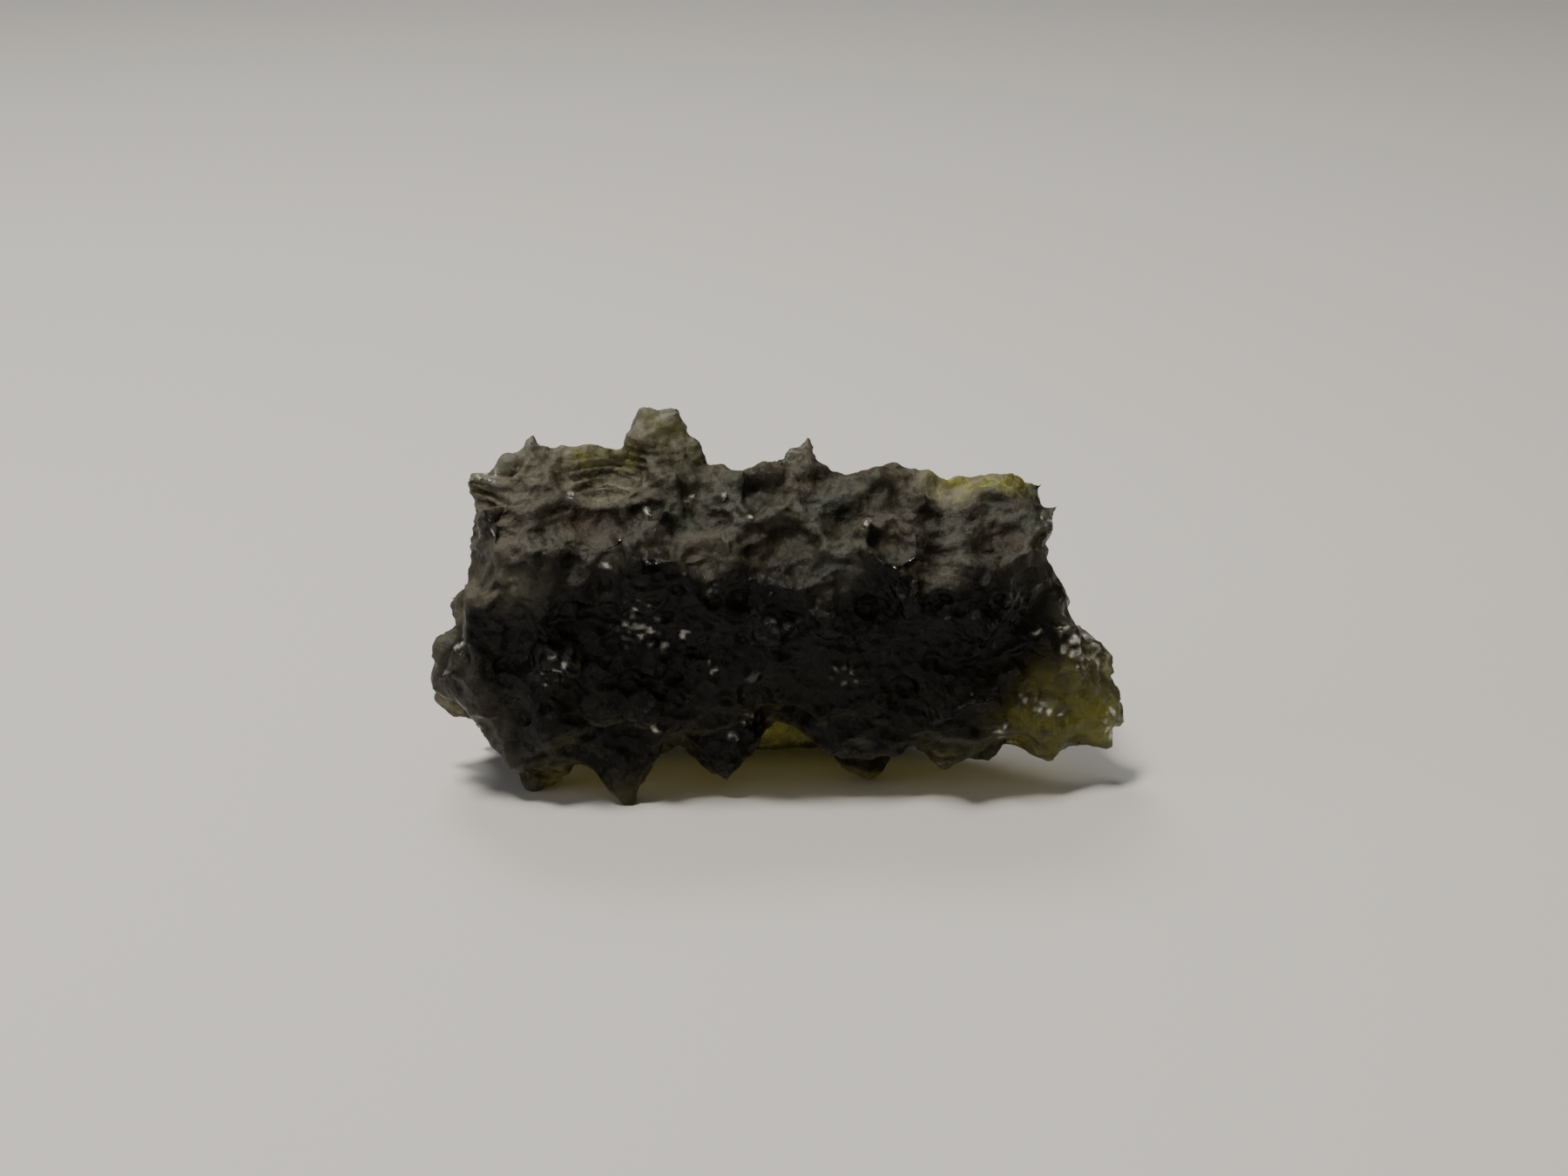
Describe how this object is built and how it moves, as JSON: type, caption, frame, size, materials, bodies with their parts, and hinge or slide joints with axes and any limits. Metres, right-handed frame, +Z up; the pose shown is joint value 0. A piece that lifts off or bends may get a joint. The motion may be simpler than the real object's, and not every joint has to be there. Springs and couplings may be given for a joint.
{
  "type": "moldavite",
  "caption": "Natural green glass stone, deeply etched into scalloped pits, thin crests and short horns, lying on its worn crest tips.",
  "frame": {"origin": "under the middle of the stone's own box, on the surface it lies on", "axes": "+X along the stone to its thin broken tip, +Y to its back, +Z up from the surface it lies on"},
  "size_m": [0.0302, 0.0112, 0.0164],
  "materials": {
    "etched_green_glass": "natural etched glass: matte, near black where thick, olive and see-through at thin edges, with a few glossy chips"
  },
  "bodies": {
    "root": {"moldavite": "etched_green_glass"}
  },
  "joints": []
}
